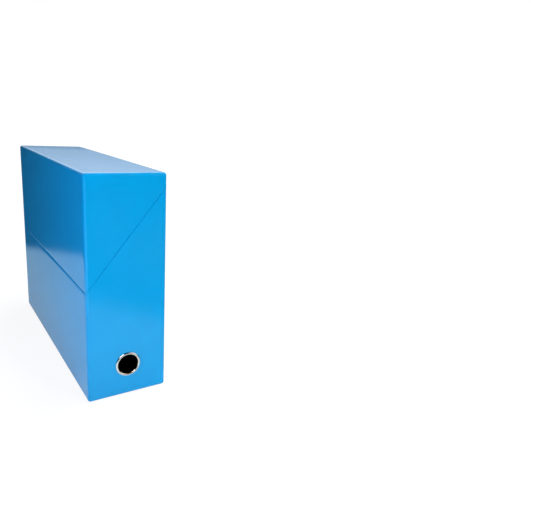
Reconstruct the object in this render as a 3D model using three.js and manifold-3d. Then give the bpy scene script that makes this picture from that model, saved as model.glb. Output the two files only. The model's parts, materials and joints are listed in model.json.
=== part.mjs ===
// A rigid-card box file for papers kept on edge: a tray with a slanted mouth, a lid that is the rest of the
// same box and swings over on a paper hinge high on the right side, and a metal finger ring in the spine.
// Millimetres. The origin is the middle of the underside, +X to the hinge side, +Y to the back, +Z up.
import * as THREE from "three";
import { RoundedBoxGeometry } from "three/addons/geometries/RoundedBoxGeometry.js";
import { mergeVertices } from "three/addons/utils/BufferGeometryUtils.js";
import Module from "manifold-3d";

const wasm = await Module();
wasm.setup();

// The box as a whole
const spineWidth = 90;
const depth = 340;
const height = 255;
const boardThickness = 2;
const foldRadius = 3;
const innerFoldRadius = 0.6;

// The cut that parts the lid from the tray
const sideCutHeight = 127.5;
const hingeDrop = 15;
const cutGap = 0.6;
const rimRadius = 0.9;

// The paper hinge on the outside of the right wall
const hingeLeaf = 11;
const hingePaper = 0.4;
const hingeRidgeHalfWidth = 2.5;
const hingeRidgeHeight = 0.5;
const hingeEndMargin = 1;
const glueLine = 0.05;

// The finger ring: one pressed metal eyelet, its rim rolled over the spine and its tail rolled back inside
const ringOuterRadius = 14.25;
const ringBoreRadius = 11.5;
const ringSheet = 0.5;
const ringTailReach = 2;
const ringHeight = 37.3;
const ringClearance = 0.3;
const ringSeatGap = 0.1;

// Fineness of the round shapes
const foldSegments = 6;
const innerFoldSegments = 2;
const rimSegments = 24;
const ridgeSegments = 8;
const rollSegments = 5;
const ringSegments = 72;

// Places that follow from the sizes
const outerX = spineWidth / 2;
const outerY = depth / 2;
const innerX = outerX - boardThickness;
const innerY = outerY - boardThickness;
const hingeHeight = height - hingeDrop;
const cutRise = new THREE.Vector3(spineWidth, 0, hingeHeight - sideCutHeight).normalize();
const cutUp = new THREE.Vector3(-cutRise.z, 0, cutRise.x);
const spineEdge = new THREE.Vector3(-outerX, 0, sideCutHeight);
const overshoot = height + depth;

// A closed geometry as a solid for cutting and joining.
function solidOf(geometry) {
  geometry.deleteAttribute("normal");
  geometry.deleteAttribute("uv");
  const merged = mergeVertices(geometry, 1e-4);
  return new wasm.Manifold(
    new wasm.Mesh({
      numProp: 3,
      vertProperties: new Float32Array(merged.attributes.position.array),
      triVerts: new Uint32Array(merged.index.array),
    }),
  );
}

// A solid as a named mesh.
function meshOf(name, solid, material) {
  const made = solid.getMesh();
  const geometry = new THREE.BufferGeometry();
  geometry.setAttribute("position", new THREE.BufferAttribute(made.vertProperties, 3));
  geometry.setIndex(new THREE.BufferAttribute(made.triVerts, 1));
  geometry.computeVertexNormals();
  const mesh = new THREE.Mesh(geometry, material);
  mesh.name = name;
  return mesh;
}

// A block between two corners.
function block(low, high) {
  const size = new THREE.Vector3().subVectors(high, low);
  const middle = new THREE.Vector3().addVectors(low, high).multiplyScalar(0.5);
  return solidOf(new THREE.BoxGeometry(size.x, size.y, size.z).translate(middle.x, middle.y, middle.z));
}

// A block with rounded edges that stands on a given level.
function roundedBlock(width, length, tall, level, segments, radius) {
  const geometry = new RoundedBoxGeometry(width, length, tall, segments, radius);
  return solidOf(geometry.translate(0, 0, level + tall / 2));
}

// The closed box before the lid is cut free: board of one thickness, every fold rounded.
function closedBox() {
  const outside = roundedBlock(spineWidth, depth, height, 0, foldSegments, foldRadius);
  const inside = roundedBlock(
    spineWidth - 2 * boardThickness,
    depth - 2 * boardThickness,
    height - 2 * boardThickness,
    boardThickness,
    innerFoldSegments,
    innerFoldRadius,
  );
  return outside.subtract(inside);
}

// All that lies above the cut, moved along the cut's normal by shift. The cut slants across the spine and the
// back. In the two long walls the board is cut square, at the height where the slant meets the outside.
function aboveCut(shift) {
  const origin = spineEdge.clone().addScaledVector(cutUp, shift);
  const turn = new THREE.Matrix4().makeBasis(cutRise, new THREE.Vector3(0, 1, 0), cutUp);
  const slab = new THREE.BoxGeometry(2 * overshoot, 2 * overshoot, overshoot);
  slab.translate(0, 0, overshoot / 2);
  slab.applyMatrix4(turn.setPosition(origin));
  const wallSlope = (boardThickness * cutRise.z) / cutRise.x + cutGap;
  const lowWallY = shift < 0 ? innerY : innerY - cutGap;
  const highWallY = shift < 0 ? innerY - cutGap : innerY;
  const lowWall = block(
    new THREE.Vector3(-outerX - boardThickness, -lowWallY, sideCutHeight + shift),
    new THREE.Vector3(-innerX, lowWallY, sideCutHeight + wallSlope + cutGap),
  );
  const highWall = block(
    new THREE.Vector3(innerX, -highWallY, hingeHeight - wallSlope - cutGap),
    new THREE.Vector3(outerX + boardThickness, highWallY, hingeHeight + shift),
  );
  return solidOf(slab).add(lowWall).subtract(highWall);
}

// The point of the cut's plane at a given place across the spine, moved along the plane's normal by shift.
function onCut(x, y, shift) {
  const along = (x + outerX) / cutRise.x;
  return spineEdge.clone().addScaledVector(cutRise, along).addScaledVector(cutUp, shift).setY(y);
}

// What a rounded edge takes off a square one: a square bar along the edge, less the round that stays. faceA
// and faceB are the outward normals of the two faces that meet there.
function edgeRounding(start, end, faceA, faceB) {
  const along = new THREE.Vector3().subVectors(end, start);
  const length = along.length();
  const middle = new THREE.Vector3().addVectors(start, end).multiplyScalar(0.5);
  const turn = new THREE.Matrix4().makeBasis(faceA, faceB, new THREE.Vector3().crossVectors(faceA, faceB));
  turn.setPosition(middle);
  const bar = new THREE.BoxGeometry(2 * rimRadius, 2 * rimRadius, length);
  const round = new THREE.CylinderGeometry(rimRadius, rimRadius, 2 * length, rimSegments);
  round.rotateX(Math.PI / 2);
  round.translate(-rimRadius, -rimRadius, 0);
  return solidOf(bar.applyMatrix4(turn)).subtract(solidOf(round.applyMatrix4(turn)));
}

// The roundings of a rim, where the covering turns over the board's edge. side is -1 for the tray's rim, which
// faces up to the cut, and 1 for the lid's, which faces down to it.
function rimRoundings(side) {
  const facing = cutUp.clone().multiplyScalar(-side);
  const lift = (side * cutGap) / 2;
  const cuts = [];
  for (const end of [-1, 1]) {
    const outward = new THREE.Vector3(0, end, 0);
    const inward = outward.clone().negate();
    const outside = [-outerX - foldRadius, outerX + foldRadius].map((x) => onCut(x, end * outerY, lift));
    const inside = [-innerX, innerX].map((x) => onCut(x, end * innerY, lift));
    cuts.push(edgeRounding(...outside, outward, facing));
    cuts.push(edgeRounding(...inside, inward, facing));
  }
  const upright = new THREE.Vector3(0, 0, -side);
  const walls = [
    { x: -outerX, outward: -1, z: sideCutHeight + lift },
    { x: -innerX, outward: 1, z: sideCutHeight + lift },
    { x: innerX, outward: -1, z: hingeHeight + lift },
    { x: outerX, outward: 1, z: hingeHeight + lift },
  ];
  for (const wall of walls) {
    const start = new THREE.Vector3(wall.x, -innerY, wall.z);
    const end = new THREE.Vector3(wall.x, innerY, wall.z);
    cuts.push(edgeRounding(start, end, new THREE.Vector3(wall.outward, 0, 0), upright));
  }
  return cuts.reduce((sum, cut) => sum.add(cut));
}

// The hole that the finger ring is pressed into.
function ringHole() {
  const radius = ringBoreRadius + ringSheet + ringClearance;
  const drill = new THREE.CylinderGeometry(radius, radius, 4 * boardThickness, ringSegments);
  return solidOf(drill.translate(0, -outerY + boardThickness / 2, ringHeight));
}

function makeTray(box) {
  return box.subtract(aboveCut(-cutGap / 2)).subtract(rimRoundings(-1)).subtract(ringHole());
}

function makeLid(box) {
  return box.intersect(aboveCut(cutGap / 2)).subtract(rimRoundings(1));
}

// The hinge paper lies flat on both walls and stands up in a low ridge over the fold.
function makeHingeStrip() {
  const inside = outerX + glueLine;
  const outside = inside + hingePaper;
  const crest = 2 * hingeRidgeHeight;
  const section = new THREE.Shape();
  section.moveTo(inside, -hingeLeaf);
  section.lineTo(outside, -hingeLeaf);
  section.lineTo(outside, -hingeRidgeHalfWidth);
  section.quadraticCurveTo(outside + crest, 0, outside, hingeRidgeHalfWidth);
  section.lineTo(outside, hingeLeaf);
  section.lineTo(inside, hingeLeaf);
  section.lineTo(inside, hingeRidgeHalfWidth);
  section.quadraticCurveTo(inside + crest, 0, inside, -hingeRidgeHalfWidth);
  section.closePath();
  const length = depth - 2 * (foldRadius + hingeEndMargin);
  const strip = new THREE.ExtrudeGeometry(section, {
    depth: length,
    bevelEnabled: false,
    curveSegments: ridgeSegments,
  });
  strip.rotateX(Math.PI / 2);
  strip.translate(0, length / 2, hingeHeight);
  return solidOf(strip);
}

// The ring's section, in radius and distance along its axis from the spine's outside, positive to the front.
// The sheet rises over a half-round rim, runs down the bore and rolls outwards again behind the board.
function ringSection() {
  const rimRoll = (ringOuterRadius - ringBoreRadius) / 2;
  const rimCentre = ringBoreRadius + rimRoll;
  const tailRoll = (ringSheet + ringTailReach) / 2;
  const tailCentre = ringBoreRadius + tailRoll;
  const tailStart = -boardThickness - ringSeatGap;
  const path = new THREE.Path();
  path.moveTo(ringOuterRadius, ringSeatGap);
  path.absarc(rimCentre, ringSeatGap, rimRoll, 0, Math.PI, false);
  path.lineTo(ringBoreRadius, tailStart);
  path.absarc(tailCentre, tailStart, tailRoll, Math.PI, 2 * Math.PI, false);
  path.lineTo(tailCentre + tailRoll - ringSheet, tailStart);
  path.absarc(tailCentre, tailStart, tailRoll - ringSheet, 2 * Math.PI, Math.PI, true);
  path.lineTo(ringBoreRadius + ringSheet, ringSeatGap);
  path.absarc(rimCentre, ringSeatGap, rimRoll - ringSheet, Math.PI, 0, true);
  path.closePath();
  return path.getPoints(rollSegments);
}

function makeFingerRing() {
  const ring = new THREE.LatheGeometry(ringSection(), ringSegments);
  ring.rotateX(Math.PI);
  ring.translate(0, -outerY, ringHeight);
  return solidOf(ring);
}

const coverBlue = new THREE.MeshStandardMaterial({ color: 0x0a95d6, roughness: 0.28, metalness: 0 });
const lidBlue = coverBlue.clone();
const hingeBlue = coverBlue.clone();
const nickel = new THREE.MeshStandardMaterial({ color: 0xd2d3d1, roughness: 0.18, metalness: 1 });

const box = closedBox();
const boxFile = new THREE.Group();
boxFile.add(meshOf("tray", makeTray(box), coverBlue));
boxFile.add(meshOf("lid", makeLid(box), lidBlue));
boxFile.add(meshOf("hinge_strip", makeHingeStrip(), hingeBlue));
boxFile.add(meshOf("finger_ring", makeFingerRing(), nickel));

export default boxFile;
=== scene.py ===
import bmesh
import bpy
import json
import math
from mathutils import Matrix, Vector, noise


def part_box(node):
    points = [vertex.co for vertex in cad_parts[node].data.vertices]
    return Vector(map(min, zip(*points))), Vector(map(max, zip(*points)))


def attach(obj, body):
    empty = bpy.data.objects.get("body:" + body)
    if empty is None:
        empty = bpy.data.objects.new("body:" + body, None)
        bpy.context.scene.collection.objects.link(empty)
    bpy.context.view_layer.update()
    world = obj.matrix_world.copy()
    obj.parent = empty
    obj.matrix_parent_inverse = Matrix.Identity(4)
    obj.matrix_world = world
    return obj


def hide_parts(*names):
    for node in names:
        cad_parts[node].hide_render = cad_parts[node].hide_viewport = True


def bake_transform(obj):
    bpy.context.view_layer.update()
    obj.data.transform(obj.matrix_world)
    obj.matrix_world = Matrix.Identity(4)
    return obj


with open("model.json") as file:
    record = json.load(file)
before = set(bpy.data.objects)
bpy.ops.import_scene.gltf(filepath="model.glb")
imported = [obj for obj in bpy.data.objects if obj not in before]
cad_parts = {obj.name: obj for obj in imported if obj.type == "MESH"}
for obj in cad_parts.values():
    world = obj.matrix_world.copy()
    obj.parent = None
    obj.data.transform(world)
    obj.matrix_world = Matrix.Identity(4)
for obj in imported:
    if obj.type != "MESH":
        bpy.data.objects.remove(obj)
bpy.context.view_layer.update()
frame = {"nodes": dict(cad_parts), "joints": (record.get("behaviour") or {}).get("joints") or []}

MM = 0.001

# Places and sizes that follow from the frame
tray_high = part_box("tray")[1]
lid_low, lid_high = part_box("lid")
ring_low, ring_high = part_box("finger_ring")
strip_low, strip_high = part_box("hinge_strip")
HINGE = Vector(frame["joints"][0]["pos_m"])
HALF_WIDTH = tray_high.x
HALF_DEPTH = tray_high.y
HEIGHT = lid_high.z
HINGE_HEIGHT = HINGE.z
SIDE_CUT_HEIGHT = lid_low.z
RING_CENTRE = (ring_low + ring_high) / 2
RING_RADIUS = (ring_high.x - ring_low.x) / 2

# Board and paper. The ends carry a pasted panel, framed by the laps of the paper that comes round the folds.
BOARD = 2 * MM
COVER_PAPER = 0.15 * MM
TURN_IN = 15 * MM
TOP_LAP = 11 * MM
SIDE_LAP = 4.5 * MM
LAP_STEP = 0.1 * MM

# The cut between the shells
CUT_GAP = 0.6 * MM
RIM_RADIUS = 0.9 * MM
CUT_ALONG = Vector((2 * HALF_WIDTH, 0.0, HINGE_HEIGHT - (SIDE_CUT_HEIGHT - CUT_GAP / 2))).normalized()
CUT_UP = Vector((-CUT_ALONG.z, 0.0, CUT_ALONG.x))
CUT_START = Vector((-HALF_WIDTH, 0.0, SIDE_CUT_HEIGHT - CUT_GAP / 2))

# How the rims are shaped: the tray's left rim is pressed in over a wide band, the lid's left rim is a
# little rounder than its solid's, and the ends keep a tight edge
WIDE_RIM = 4.6 * MM
LID_RIM = 1.5 * MM
TIGHT_RIM = 0.25 * MM
END_CLOSING = 0.2 * MM
RIM_BLEND = 7 * MM

# Where an end's rim passes into a long wall's rim, as depths behind the end's face
END_RIM_DEPTH = 1.5 * MM
WALL_RIM_DEPTH = 3.5 * MM

# How far the long walls and the ends draw in between their folds, and how these faces wave
WALL_BOW = 0.5 * MM
END_BOW = 0.25 * MM
WAVE_SHARE = 0.25
WALL_WAVES = 14.0
END_WAVES = 22.0
END_WAVE_PLACE = 3.0

# How the top droops to its back edge: its depth, its reach, the height over which it fades below the
# top, and the share of it that is left at the left fold
BACK_DROOP = 0.35 * MM
DROOP_REACH = 75 * MM
DROOP_FADE = 8 * MM
DROOP_AT_LEFT = 0.05

# The grid that the shells are cut on, how close a point counts as lying on a surface, and how squarely a
# face counts as facing along an axis
CELL = 8 * MM
WELD = 1e-6
ON_CUT = 0.01 * MM
ON_END = 0.05 * MM
ON_INSIDE = 0.2 * MM
ON_WALL_SHARE = 0.999
SQUARE_ON = 0.6

# The hinge strip
STRIP_PAPER = 0.4 * MM
STRIP_GLUE = 0.05 * MM
RIDGE_HALF = 2.5 * MM
STRIP_STEPS = 48
STRIP_COLUMNS = 60

# The finger ring's sheet
RING_BORE_RADIUS = 11.5 * MM
RING_SHEET = 0.5 * MM
RING_TAIL_REACH = 2 * MM
RING_SEAT_GAP = 0.1 * MM
RING_TURNS = 128

# Colours, as linear light
COVER_BLUE = (0.0, 0.355, 0.785)
COVER_BLUE_DEEP = (0.0, 0.34, 0.76)
# The lining's near-black colour is painted shade for the unlit inside of the closed box. Its flecks are the
# paper's fibre.
SHADE_DARK_LINING = (0.07, 0.068, 0.066)
LINING_FLECK = (0.04, 0.039, 0.038)
NICKEL = (0.92, 0.78, 0.69)
NICKEL_PALER = 1.06
STUDIO_WHITE = (1.0, 1.0, 1.0)
FLOOR_WHITE = (0.9, 0.9, 0.9)
COOL_SHEEN = (0.76, 1.0, 1.15)
SKY_LIGHT = (0.68, 0.81, 1.0)
LAMP_LIGHT = (1.0, 1.0, 0.9)

# How strongly the floor and the card glow for the camera, so that they stay clean white
SEEN_WHITE = 1.08

# The camera, solved from the box's corners in the photograph
CAMERA_PLACE = (-0.1843, -0.6868, 0.3213)
CAMERA_RIGHT = (0.82237, -0.56556, 0.06197)
CAMERA_UP = (0.08996, 0.23682, 0.96738)
CAMERA_LENS = 34.37
SENSOR_WIDTH = 36.0
PICTURE_SHIFT = -0.0394

# The floor that gloss sees: where it ends to the left and to the right, along two level directions
ACROSS = (0.8, -0.6, 0.0)
LEFT_END = -0.405
LEFT_BLUR = 0.02
ACROSS_AT_RIGHT = (0.87, -0.49, 0.0)
RIGHT_END = 0.2785
RIGHT_BLUR = 0.03
AHEAD = (0.6, 0.8, 0.0)
FLOOR_REACH = 8.0

# The card that stands behind the box, along the same directions
CARD_AHEAD = 1.24
CARD_LEFT = -0.472
CARD_RIGHT = 0.93
CARD_HEIGHT = 1.2

# The way to the small lamp that the ring mirrors, high on the left
LAMP_WAY = (-0.52, -0.17, 0.84)


# Meshes

def link_object(name, mesh):
    piece = bpy.data.objects.new(name, mesh)
    bpy.context.scene.collection.objects.link(piece)
    return piece


def smooth_by_angle(mesh, degrees):
    """Smooth shading, with a sharp edge wherever two faces meet at more than the angle."""
    limit = math.radians(degrees)
    shell = bmesh.new()
    shell.from_mesh(mesh)
    for face in shell.faces:
        face.smooth = True
    for edge in shell.edges:
        edge.smooth = len(edge.link_faces) == 2 and edge.calc_face_angle(0.0) < limit
    shell.to_mesh(mesh)
    shell.free()


# Parts of a material

def blank_material(name):
    material = bpy.data.materials.new(name)
    material.use_nodes = True
    nodes = material.node_tree.nodes
    nodes.clear()
    return material, nodes, material.node_tree.links


def object_place(nodes):
    return nodes.new("ShaderNodeTexCoord").outputs["Object"]


def add_noise(nodes, links, where, scale, detail, roughness):
    texture = nodes.new("ShaderNodeTexNoise")
    texture.inputs["Scale"].default_value = scale
    texture.inputs["Detail"].default_value = detail
    texture.inputs["Roughness"].default_value = roughness
    links.new(where, texture.inputs["Vector"])
    return texture.outputs["Fac"]


def add_range(nodes, links, value, low, high, to_low, to_high):
    ramp = nodes.new("ShaderNodeMapRange")
    ramp.inputs["From Min"].default_value = low
    ramp.inputs["From Max"].default_value = high
    ramp.inputs["To Min"].default_value = to_low
    ramp.inputs["To Max"].default_value = to_high
    links.new(value, ramp.inputs["Value"])
    return ramp.outputs["Result"]


def add_math(nodes, links, operation, first, second):
    step = nodes.new("ShaderNodeMath")
    step.operation = operation
    for socket, value in zip(step.inputs, (first, second)):
        if isinstance(value, float):
            socket.default_value = value
        else:
            links.new(value, socket)
    return step.outputs["Value"]


def add_along(nodes, links, place, direction):
    """How far a point lies along a direction."""
    product = nodes.new("ShaderNodeVectorMath")
    product.operation = "DOT_PRODUCT"
    product.inputs[1].default_value = direction
    links.new(place, product.inputs[0])
    return product.outputs["Value"]


def add_radius(nodes, links, place):
    """How far a point lies from the middle of the scene."""
    length = nodes.new("ShaderNodeVectorMath")
    length.operation = "LENGTH"
    links.new(place, length.inputs[0])
    return length.outputs["Value"]


def add_colour_mix(nodes, links, share, first, second):
    mix = nodes.new("ShaderNodeMix")
    mix.data_type = "RGBA"
    mix.inputs["A"].default_value = (*first, 1.0)
    mix.inputs["B"].default_value = (*second, 1.0)
    links.new(share, mix.inputs["Factor"])
    return mix.outputs["Result"]


def add_bump(nodes, links, height, strength, distance, before=None):
    bump = nodes.new("ShaderNodeBump")
    bump.inputs["Strength"].default_value = strength
    bump.inputs["Distance"].default_value = distance
    links.new(height, bump.inputs["Height"])
    if before is not None:
        links.new(before, bump.inputs["Normal"])
    return bump.outputs["Normal"]


def add_surface(nodes, links):
    surface = nodes.new("ShaderNodeBsdfPrincipled")
    output = nodes.new("ShaderNodeOutputMaterial")
    links.new(surface.outputs["BSDF"], output.inputs["Surface"])
    return surface


def add_emission(nodes, links, colour, strength):
    light = nodes.new("ShaderNodeEmission")
    light.inputs["Color"].default_value = (*colour, 1.0)
    if isinstance(strength, float):
        light.inputs["Strength"].default_value = strength
    else:
        links.new(strength, light.inputs["Strength"])
    return light.outputs["Emission"]


def add_shader_mix(nodes, links, share, first, second):
    mix = nodes.new("ShaderNodeMixShader")
    links.new(share, mix.inputs["Fac"])
    links.new(first, mix.inputs[1])
    links.new(second, mix.inputs[2])
    return mix.outputs["Shader"]


# The box file's finishes

def laminated_paper(name):
    """Glossy film over printed paper. It follows the paper's fine pebble and the board's slow waves."""
    material, nodes, links = blank_material(name)
    surface = add_surface(nodes, links)
    place = object_place(nodes)
    mottle = add_noise(nodes, links, place, scale=35.0, detail=3.0, roughness=0.6)
    share = add_range(nodes, links, mottle, low=0.35, high=0.65, to_low=0.0, to_high=1.0)
    printed = add_colour_mix(nodes, links, share, COVER_BLUE, COVER_BLUE_DEEP)
    links.new(printed, surface.inputs["Base Color"])
    rub = add_noise(nodes, links, place, scale=18.0, detail=4.0, roughness=0.6)
    rubbed = add_range(nodes, links, rub, low=0.3, high=0.7, to_low=0.10, to_high=0.16)
    links.new(rubbed, surface.inputs["Roughness"])
    surface.inputs["IOR"].default_value = 1.5
    waves = add_noise(nodes, links, place, scale=30.0, detail=1.0, roughness=0.4)
    pebble = add_noise(nodes, links, place, scale=620.0, detail=2.0, roughness=0.5)
    slow = add_bump(nodes, links, waves, strength=0.5, distance=0.15 * MM)
    fine = add_bump(nodes, links, pebble, strength=0.5, distance=0.02 * MM, before=slow)
    links.new(fine, surface.inputs["Normal"])
    return material


def dark_lining(name):
    """Lining paper: matt, with darker flecks of fibre. Its near-black colour is painted shade for the unlit
    inside of the closed box, seen through the ring's bore.
    """
    material, nodes, links = blank_material(name)
    surface = add_surface(nodes, links)
    place = object_place(nodes)
    fibre = add_noise(nodes, links, place, scale=900.0, detail=4.0, roughness=0.7)
    share = add_range(nodes, links, fibre, low=0.42, high=0.66, to_low=0.0, to_high=1.0)
    links.new(add_colour_mix(nodes, links, share, SHADE_DARK_LINING, LINING_FLECK), surface.inputs["Base Color"])
    surface.inputs["Roughness"].default_value = 0.85
    links.new(add_bump(nodes, links, fibre, strength=0.4, distance=0.05 * MM), surface.inputs["Normal"])
    return material


def bright_nickel(name):
    """Nickel plate on pressed steel, with a faint film of handling that dulls and pales it in places."""
    material, nodes, links = blank_material(name)
    surface = add_surface(nodes, links)
    place = object_place(nodes)
    film = add_noise(nodes, links, place, scale=260.0, detail=3.0, roughness=0.6)
    surface.inputs["Metallic"].default_value = 1.0
    dulled = add_range(nodes, links, film, low=0.3, high=0.7, to_low=0.06, to_high=0.14)
    links.new(dulled, surface.inputs["Roughness"])
    tint = add_range(nodes, links, film, low=0.3, high=0.7, to_low=0.0, to_high=1.0)
    pale = tuple(NICKEL_PALER * part for part in NICKEL)
    links.new(add_colour_mix(nodes, links, tint, NICKEL, pale), surface.inputs["Base Color"])
    links.new(add_bump(nodes, links, film, strength=0.15, distance=0.02 * MM), surface.inputs["Normal"])
    return material


# The two covered shells

def smooth_step(value, low, high):
    share = max(0.0, min(1.0, (value - low) / (high - low)))
    return share * share * (3.0 - 2.0 * share)


def wall_draw_in(point):
    """How far a point of the board moves from its flat place, because a covered wall draws in a little
    between its folds. Both faces of a wall move together, and both shells by the same rule, so the cut
    still matches."""
    across = max(0.0, 1.0 - (point.x / HALF_WIDTH) ** 2)
    along = max(0.0, 1.0 - (point.y / HALF_DEPTH) ** 2)
    level = 2.0 * point.z / HEIGHT - 1.0
    upward = max(0.0, 1.0 - level**2)
    side = max(-1.0, min(1.0, point.x / (HALF_WIDTH - BOARD)))
    end = max(-1.0, min(1.0, point.y / (HALF_DEPTH - BOARD)))
    wall_wave = WAVE_SHARE * noise.noise(Vector((0.0, WALL_WAVES * point.y, WALL_WAVES * point.z)))
    end_wave = WAVE_SHARE * noise.noise(Vector((END_WAVES * point.x, END_WAVE_PLACE, END_WAVES * point.z)))
    move = Vector((0.0, 0.0, 0.0))
    if abs(side) > ON_WALL_SHARE:
        move.x = -math.copysign(WALL_BOW * along * upward * (1.0 + wall_wave), side)
    if abs(end) > ON_WALL_SHARE:
        move.y = -math.copysign(END_BOW * across * upward * (1.0 + end_wave), end)
    behind = max(0.0, (point.y - HALF_DEPTH + DROOP_REACH) / DROOP_REACH)
    under_top = smooth_step(point.z, HEIGHT - DROOP_FADE, HEIGHT - BOARD)
    rightward = DROOP_AT_LEFT + (1.0 - DROOP_AT_LEFT) * (point.x / HALF_WIDTH + 1.0) / 2
    move.z = -BACK_DROOP * behind * behind * under_top * rightward
    return move


def panel_recess(point):
    """The end's pasted panel lies a paper's thickness behind the laps that frame it."""
    if abs(point.y) < HALF_DEPTH - ON_END:
        return Vector((0.0, 0.0, 0.0))
    inside = min(HALF_WIDTH - SIDE_LAP - abs(point.x), HEIGHT - TOP_LAP - point.z)
    share = max(0.0, min(1.0, inside / LAP_STEP))
    return Vector((0.0, -math.copysign(COVER_PAPER * share, point.y), 0.0))


def stretched(value, old_end, new_end, far_end):
    """Maps 0 to old_end onto 0 to new_end, and the rest up to far_end onto what is left."""
    if value >= far_end:
        return value
    if value <= old_end:
        return value * new_end / old_end
    return new_end + (value - old_end) * (far_end - new_end) / (far_end - old_end)


def rim_shaped(point, side):
    """Moves a point near a shell's rim, so that the rounded edge gets its width. side is -1 for the tray
    and 1 for the lid. On the ends the two rims also come closer to each other."""
    end_share = smooth_step(abs(point.y), HALF_DEPTH - WALL_RIM_DEPTH, HALF_DEPTH - END_RIM_DEPTH)
    from_cut = side * (point - CUT_START).dot(CUT_UP)
    slanted = from_cut - CUT_GAP / 2
    shaped = point.copy()
    if end_share > 0.0 and -ON_CUT < slanted < RIM_BLEND:
        depth = HALF_DEPTH - abs(point.y)
        narrow = stretched(max(slanted, 0.0), RIM_RADIUS, TIGHT_RIM, RIM_BLEND)
        narrow -= END_CLOSING * max(0.0, 1.0 - slanted / RIM_BLEND)
        shaped.z += side * (narrow - slanted) * end_share / CUT_UP.z
        if 0.0 < depth < BOARD / 2:
            thin = stretched(depth, RIM_RADIUS, TIGHT_RIM, BOARD / 2)
            near = 1.0 - smooth_step(slanted, RIM_RADIUS, 2 * RIM_RADIUS)
            shaped.y += math.copysign((depth - thin) * near * end_share, point.y)
    rim_height = SIDE_CUT_HEIGHT if side > 0 else SIDE_CUT_HEIGHT - CUT_GAP
    rim_width = LID_RIM if side > 0 else WIDE_RIM
    upright = side * (point.z - rim_height)
    if point.x < -HALF_WIDTH + BOARD / 2 and -ON_CUT < upright < RIM_BLEND:
        wide = stretched(max(upright, 0.0), RIM_RADIUS, rim_width, RIM_BLEND)
        shaped.z += side * (wide - upright) * (1.0 - end_share)
    return shaped


def cut_by_plane(shell, place, normal):
    parts = shell.verts[:] + shell.edges[:] + shell.faces[:]
    bmesh.ops.bisect_plane(shell, geom=parts, dist=WELD, plane_co=place, plane_no=normal)


def cut_into_cells(shell, low, high):
    """Cuts every face of the shell on a grid of planes, so that it can bend."""
    for axis in range(3):
        count = int((high[axis] - low[axis]) / CELL)
        normal = Vector((0.0, 0.0, 0.0))
        normal[axis] = 1.0
        for step in range(1, count):
            place = Vector((0.0, 0.0, 0.0))
            place[axis] = low[axis] + (high[axis] - low[axis]) * step / count
            cut_by_plane(shell, place, normal)


def cut_for_laps(shell):
    """Cuts along the panel's edges, so that its step is crisp."""
    for shift in (0.0, LAP_STEP):
        for place in (-HALF_WIDTH + SIDE_LAP + shift, HALF_WIDTH - SIDE_LAP - shift):
            cut_by_plane(shell, Vector((place, 0.0, 0.0)), Vector((1.0, 0.0, 0.0)))
        cut_by_plane(shell, Vector((0.0, 0.0, HEIGHT - TOP_LAP - shift)), Vector((0.0, 0.0, 1.0)))


def cut_near_rim(shell, side):
    """Cuts beside the rim, and where the cover paper that is turned in over it ends."""
    for distance in (2 * RIM_RADIUS, RIM_BLEND, TURN_IN):
        slant = CUT_START + CUT_UP * side * (CUT_GAP / 2 + distance)
        cut_by_plane(shell, slant, CUT_UP)
    for level in (SIDE_CUT_HEIGHT, HINGE_HEIGHT):
        cut_by_plane(shell, Vector((0.0, 0.0, level + side * TURN_IN)), Vector((0.0, 0.0, 1.0)))
    cut_by_plane(shell, Vector((0.0, 0.0, SIDE_CUT_HEIGHT + side * RIM_BLEND)), Vector((0.0, 0.0, 1.0)))


def is_lined(middle, facing, side):
    """Whether a face belongs to the lining: inside the box, and farther from the rim than the paper that is
    turned in over it."""
    within_x = abs(middle.x) < HALF_WIDTH - BOARD + ON_INSIDE
    within_y = abs(middle.y) < HALF_DEPTH - BOARD + ON_INSIDE
    within_z = BOARD - ON_INSIDE < middle.z < HEIGHT - BOARD + ON_INSIDE
    if not (within_x and within_y and within_z):
        return False
    if abs(facing.x) > SQUARE_ON:
        rim = SIDE_CUT_HEIGHT if middle.x < 0.0 else HINGE_HEIGHT
        return facing.x * middle.x < 0.0 and side * (middle.z - rim) > TURN_IN
    if abs(facing.y) > SQUARE_ON:
        from_cut = side * (middle - CUT_START).dot(CUT_UP)
        return facing.y * middle.y < 0.0 and from_cut > TURN_IN + CUT_GAP / 2
    return abs(facing.z) > SQUARE_ON


def covered_shell(name, node, body, side):
    """A shell as its solid gives it, merged and bent a little. It is covered outside and lined inside."""
    mesh = frame["nodes"][node].data.copy()
    mesh.name = name
    mesh.materials.clear()
    mesh.materials.append(cover)
    mesh.materials.append(lining)
    shell = bmesh.new()
    shell.from_mesh(mesh)
    bmesh.ops.remove_doubles(shell, verts=shell.verts, dist=WELD)
    low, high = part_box(node)
    cut_into_cells(shell, low, high)
    cut_for_laps(shell)
    cut_near_rim(shell, side)
    shell.normal_update()
    for face in shell.faces:
        face.material_index = 1 if is_lined(face.calc_center_median(), face.normal, side) else 0
    for vertex in shell.verts:
        flat = vertex.co.copy()
        vertex.co = rim_shaped(flat, side) + wall_draw_in(flat) + panel_recess(flat)
    shell.to_mesh(mesh)
    shell.free()
    smooth_by_angle(mesh, degrees=35.0)
    piece = link_object(name, mesh)
    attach(piece, body)
    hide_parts(node)


# The hinge strip

def hinge_strip_section():
    """The strip's line on the wall, as pairs of height from the hinge and stand-off. It has a low ridge at
    the fold."""
    half = (strip_high.z - strip_low.z) / 2
    ridge = strip_high.x - HALF_WIDTH - STRIP_GLUE - STRIP_PAPER
    line = []
    for step in range(STRIP_STEPS + 1):
        height = -half + 2.0 * half * step / STRIP_STEPS
        inside = max(0.0, 1.0 - abs(height) / RIDGE_HALF)
        line.append((height, ridge * inside * inside * (3.0 - 2.0 * inside)))
    return line


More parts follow.
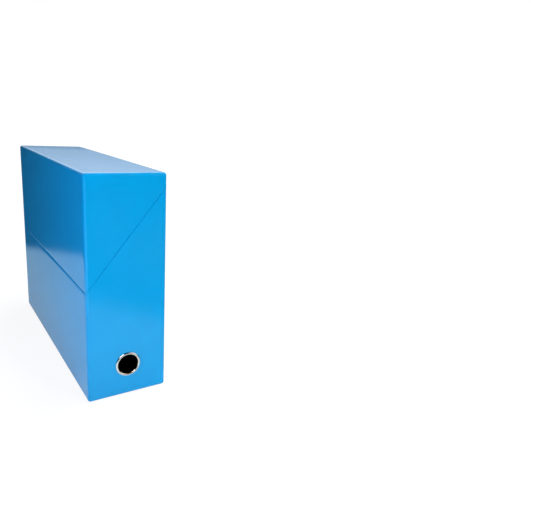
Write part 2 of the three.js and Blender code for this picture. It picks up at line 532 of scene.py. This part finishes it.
def make_hinge_strip():
    """A closed strip of paper: its section is repeated along the hinge, and both ends are filled in."""
    line = hinge_strip_section()
    seat = HALF_WIDTH + STRIP_GLUE
    outside = [Vector((seat + STRIP_PAPER + rise, 0.0, HINGE_HEIGHT + height)) for height, rise in line]
    inside = [Vector((seat + rise, 0.0, HINGE_HEIGHT + height)) for height, rise in reversed(line)]
    section = outside + inside
    shell = bmesh.new()
    rows = []
    for column in range(STRIP_COLUMNS + 1):
        y = strip_low.y + (strip_high.y - strip_low.y) * column / STRIP_COLUMNS
        rows.append([shell.verts.new(Vector((point.x, y, point.z))) for point in section])
    count = len(section)
    for here, there in zip(rows, rows[1:]):
        for index in range(count):
            after = (index + 1) % count
            shell.faces.new((here[index], there[index], there[after], here[after]))
    half = len(line)
    for row, flip in ((rows[0], False), (rows[-1], True)):
        for index in range(half - 1):
            quad = (row[index], row[index + 1], row[count - 2 - index], row[count - 1 - index])
            shell.faces.new(tuple(reversed(quad)) if flip else quad)
    bmesh.ops.recalc_face_normals(shell, faces=shell.faces)
    mesh = bpy.data.meshes.new("hinge_paper")
    shell.to_mesh(mesh)
    shell.free()
    smooth_by_angle(mesh, degrees=40.0)
    mesh.materials.append(cover)
    piece = link_object("hinge_paper", mesh)
    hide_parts("hinge_strip")
    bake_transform(piece)


# The finger ring

def arc_points(centre_radius, centre_depth, radius, start, end, steps):
    points = []
    for step in range(steps + 1):
        angle = math.radians(start + (end - start) * step / steps)
        points.append((centre_radius + radius * math.cos(angle), centre_depth + radius * math.sin(angle)))
    return points


def ring_section():
    """The pressed sheet's outline, in radius and distance in front of the spine: over the rolled rim, down
    the bore, round the tail behind the board, and back on the sheet's other face."""
    rim = (RING_RADIUS - RING_BORE_RADIUS) / 2
    rim_centre = RING_BORE_RADIUS + rim
    tail = (RING_SHEET + RING_TAIL_REACH) / 2
    tail_centre = RING_BORE_RADIUS + tail
    tail_start = -BOARD - RING_SEAT_GAP
    outline = arc_points(rim_centre, RING_SEAT_GAP, rim, start=0.0, end=180.0, steps=20)
    outline += arc_points(tail_centre, tail_start, tail, start=180.0, end=360.0, steps=16)
    outline += arc_points(tail_centre, tail_start, tail - RING_SHEET, start=360.0, end=180.0, steps=12)
    outline += arc_points(rim_centre, RING_SEAT_GAP, rim - RING_SHEET, start=180.0, end=0.0, steps=16)
    return outline


def make_finger_ring():
    """The sheet's outline turned round the ring's axis."""
    outline = ring_section()
    shell = bmesh.new()
    loops = []
    for turn in range(RING_TURNS):
        angle = 2.0 * math.pi * turn / RING_TURNS
        across = math.cos(angle)
        upward = math.sin(angle)
        loop = []
        for radius, depth in outline:
            place = (radius * across, -HALF_DEPTH - depth, RING_CENTRE.z + radius * upward)
            loop.append(shell.verts.new(place))
        loops.append(loop)
    count = len(outline)
    for turn in range(RING_TURNS):
        here = loops[turn]
        there = loops[(turn + 1) % RING_TURNS]
        for index in range(count):
            after = (index + 1) % count
            shell.faces.new((here[index], here[after], there[after], there[index]))
    bmesh.ops.recalc_face_normals(shell, faces=shell.faces)
    mesh = bpy.data.meshes.new("eyelet")
    shell.to_mesh(mesh)
    shell.free()
    smooth_by_angle(mesh, degrees=50.0)
    mesh.materials.append(bright_nickel("bright_nickel"))
    piece = link_object("eyelet", mesh)
    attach(piece, "tray")
    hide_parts("finger_ring")


# Camera and lamps

def make_camera():
    """The camera, with the picture's middle a little below the point that it looks at."""
    right = Vector(CAMERA_RIGHT)
    up = Vector(CAMERA_UP)
    back = right.cross(up).normalized()
    up = back.cross(right).normalized()
    right = up.cross(back)
    data = bpy.data.cameras.new("camera")
    data.sensor_width = SENSOR_WIDTH
    data.lens = CAMERA_LENS
    data.shift_y = PICTURE_SHIFT
    data.clip_start = 0.01
    data.clip_end = 50.0
    camera = bpy.data.objects.new("camera", data)
    turn = Matrix((right, up, back)).transposed().to_4x4()
    camera.matrix_world = Matrix.Translation(Vector(CAMERA_PLACE)) @ turn
    bpy.context.scene.collection.objects.link(camera)
    bpy.context.scene.camera = camera


def add_area_light(name, place, target, size, power, colour=STUDIO_WHITE):
    """A lamp that lights surfaces but isn't mirrored in them. What gloss sees is the floor, the card and
    the world."""
    data = bpy.data.lights.new(name, "AREA")
    data.shape = "RECTANGLE"
    data.size = size[0]
    data.size_y = size[1]
    data.energy = power
    data.color = colour
    light = bpy.data.objects.new(name, data)
    light.location = place
    direction = Vector(target) - Vector(place)
    light.rotation_mode = "QUATERNION"
    light.rotation_quaternion = direction.to_track_quat("-Z", "Y")
    light.visible_glossy = False
    light.visible_camera = False
    bpy.context.scene.collection.objects.link(light)


# The floor, and the card behind the box

def flat_board(name, corners, material):
    mesh = bpy.data.meshes.new(name)
    mesh.from_pydata(corners, [], [(0, 1, 2, 3)])
    mesh.update()
    mesh.materials.append(material)
    piece = link_object(name, mesh)
    return piece


def white_floor(name):
    """The camera sees this floor almost free of shade, and gloss sees where it ends and the dark begins."""
    material, nodes, links = blank_material(name)
    output = nodes.new("ShaderNodeOutputMaterial")
    place = object_place(nodes)
    across = add_along(nodes, links, place, ACROSS)
    rightward = add_along(nodes, links, place, ACROSS_AT_RIGHT)
    ahead = add_along(nodes, links, place, AHEAD)
    left_side = add_range(
        nodes,
        links,
        across,
        low=LEFT_END - LEFT_BLUR,
        high=LEFT_END + LEFT_BLUR,
        to_low=0.0,
        to_high=1.0,
    )
    right_side = add_range(
        nodes,
        links,
        rightward,
        low=RIGHT_END - RIGHT_BLUR,
        high=RIGHT_END + RIGHT_BLUR,
        to_low=1.0,
        to_high=0.0,
    )
    on_floor = add_math(nodes, links, "MULTIPLY", left_side, right_side)
    level = add_range(nodes, links, ahead, low=-0.20, high=-0.10, to_low=0.95, to_high=0.58)
    dimmer = add_range(nodes, links, across, low=LEFT_END, high=-0.05, to_low=0.8, to_high=1.0)
    level = add_math(nodes, links, "MULTIPLY", level, dimmer)
    level = add_math(nodes, links, "MULTIPLY", level, on_floor)
    mirrored = add_math(nodes, links, "ADD", level, 0.02)
    diffuse = nodes.new("ShaderNodeBsdfDiffuse")
    diffuse.inputs["Color"].default_value = (*FLOOR_WHITE, 1.0)
    plain = diffuse.outputs["BSDF"]
    away = add_radius(nodes, links, place)
    share = add_range(nodes, links, away, low=0.4, high=1.0, to_low=0.84, to_high=1.0)
    seen = add_shader_mix(nodes, links, share, plain, add_emission(nodes, links, STUDIO_WHITE, SEEN_WHITE))
    rays = nodes.new("ShaderNodeLightPath")
    shown = add_shader_mix(nodes, links, rays.outputs["Is Camera Ray"], plain, seen)
    glossy = add_emission(nodes, links, COOL_SHEEN, mirrored)
    shown = add_shader_mix(nodes, links, rays.outputs["Is Glossy Ray"], shown, glossy)
    links.new(shown, output.inputs["Surface"])
    return material


def make_floor():
    near = -FLOOR_REACH
    far = FLOOR_REACH
    corners = [(near, near, 0.0), (far, near, 0.0), (far, far, 0.0), (near, far, 0.0)]
    flat_board("floor", corners, white_floor("white_floor"))


def white_card(name):
    """Plain white for the camera. Gloss sees it dim at the foot and bright towards its top."""
    material, nodes, links = blank_material(name)
    output = nodes.new("ShaderNodeOutputMaterial")
    split = nodes.new("ShaderNodeSeparateXYZ")
    links.new(object_place(nodes), split.inputs["Vector"])
    height = split.outputs["Z"]
    foot_level = add_range(nodes, links, height, low=0.33, high=0.47, to_low=0.33, to_high=0.9)
    top_level = add_range(nodes, links, height, low=0.50, high=0.70, to_low=0.0, to_high=1.0)
    level = add_math(nodes, links, "ADD", foot_level, top_level)
    mirrored = add_emission(nodes, links, STUDIO_WHITE, level)
    seen = add_emission(nodes, links, STUDIO_WHITE, SEEN_WHITE)
    rays = nodes.new("ShaderNodeLightPath")
    shown = add_shader_mix(nodes, links, rays.outputs["Is Camera Ray"], mirrored, seen)
    links.new(shown, output.inputs["Surface"])
    return material


def make_backdrop():
    """The card stands upright behind the box. The lid's top mirrors its foot, and the folds its bright
    top."""
    right = Vector(ACROSS)
    foot = Vector(AHEAD) * CARD_AHEAD
    left_end = foot + right * CARD_LEFT
    right_end = foot + right * CARD_RIGHT
    tall = Vector((0.0, 0.0, CARD_HEIGHT))
    corners = [tuple(left_end), tuple(right_end), tuple(right_end + tall), tuple(left_end + tall)]
    backdrop = flat_board("backdrop", corners, white_card("backdrop_white"))
    backdrop.visible_diffuse = False
    backdrop.visible_shadow = False


def make_world(strength):
    """White for the camera and a little even light on everything. Gloss sees a studio: dark up to just
    above the horizon, then bright on the side where the card stands, and dark overhead, on the left and on
    the camera's side. It also sees one small lamp."""
    world = bpy.data.worlds.new("studio")
    world.use_nodes = True
    nodes = world.node_tree.nodes
    links = world.node_tree.links
    nodes.clear()
    direction = nodes.new("ShaderNodeTexCoord").outputs["Generated"]
    split = nodes.new("ShaderNodeSeparateXYZ")
    links.new(direction, split.inputs["Vector"])
    rise = split.outputs["Z"]
    horizon = add_range(nodes, links, rise, low=0.077, high=0.081, to_low=0.1, to_high=0.68)
    glow = add_range(nodes, links, rise, low=0.12, high=0.25, to_low=0.0, to_high=0.85)
    ceiling = add_range(nodes, links, rise, low=0.7, high=0.9, to_low=1.0, to_high=0.1)
    gloss = add_math(nodes, links, "ADD", horizon, glow)
    gloss = add_math(nodes, links, "MULTIPLY", gloss, ceiling)
    ahead = add_along(nodes, links, direction, AHEAD)
    facing = add_range(nodes, links, ahead, low=-0.3, high=0.3, to_low=0.08, to_high=1.0)
    gloss = add_math(nodes, links, "MULTIPLY", gloss, facing)
    rightward = add_range(nodes, links, split.outputs["X"], low=-0.06, high=0.08, to_low=0.15, to_high=1.0)
    gloss = add_math(nodes, links, "MULTIPLY", gloss, rightward)
    towards_lamp = add_along(nodes, links, direction, LAMP_WAY)
    lamp = add_range(nodes, links, towards_lamp, low=0.94, high=0.97, to_low=0.0, to_high=5.0)
    gloss = add_math(nodes, links, "ADD", gloss, lamp)
    rays = nodes.new("ShaderNodeLightPath")
    plain = nodes.new("ShaderNodeMix")
    plain.inputs["A"].default_value = strength
    links.new(rays.outputs["Is Glossy Ray"], plain.inputs["Factor"])
    links.new(gloss, plain.inputs["B"])
    level = nodes.new("ShaderNodeMix")
    level.inputs["B"].default_value = 1.0
    links.new(rays.outputs["Is Camera Ray"], level.inputs["Factor"])
    links.new(plain.outputs["Result"], level.inputs["A"])
    light = nodes.new("ShaderNodeBackground")
    light.inputs["Color"].default_value = (*STUDIO_WHITE, 1.0)
    links.new(level.outputs["Result"], light.inputs["Strength"])
    output = nodes.new("ShaderNodeOutputWorld")
    links.new(light.outputs["Background"], output.inputs["Surface"])
    bpy.context.scene.world = world


cover = laminated_paper("laminated_paper")
# The lining carries painted shade: near black for the unlit inside of the closed box
lining = dark_lining("shade_dark_lining")
make_camera()
covered_shell("tray_shell", "tray", "tray", -1)
covered_shell("lid_shell", "lid", "lid", 1)
make_hinge_strip()
make_finger_ring()
make_floor()
make_backdrop()
make_world(strength=0.06)
add_area_light(
    "front_key",
    place=(0.45, -1.15, 0.4),
    target=(0.0, -0.17, 0.13),
    size=(0.3, 0.3),
    power=6.2,
    colour=LAMP_LIGHT,
)
add_area_light(
    "left_key",
    place=(-0.45, -0.35, 0.25),
    target=(-0.045, -0.1, 0.15),
    size=(0.2, 0.2),
    power=1.36,
    colour=SKY_LIGHT,
)
add_area_light(
    "overhead",
    place=(0.31, -0.1, 1.4),
    target=(0.0, 0.0, 0.25),
    size=(0.6, 0.4),
    power=13.0,
)
add_area_light(
    "back_fill",
    place=(0.95, 0.95, 0.65),
    target=(0.0, 0.0, 0.13),
    size=(1.0, 1.0),
    power=12.0,
)

bpy.context.scene.view_settings.view_transform = "Standard"
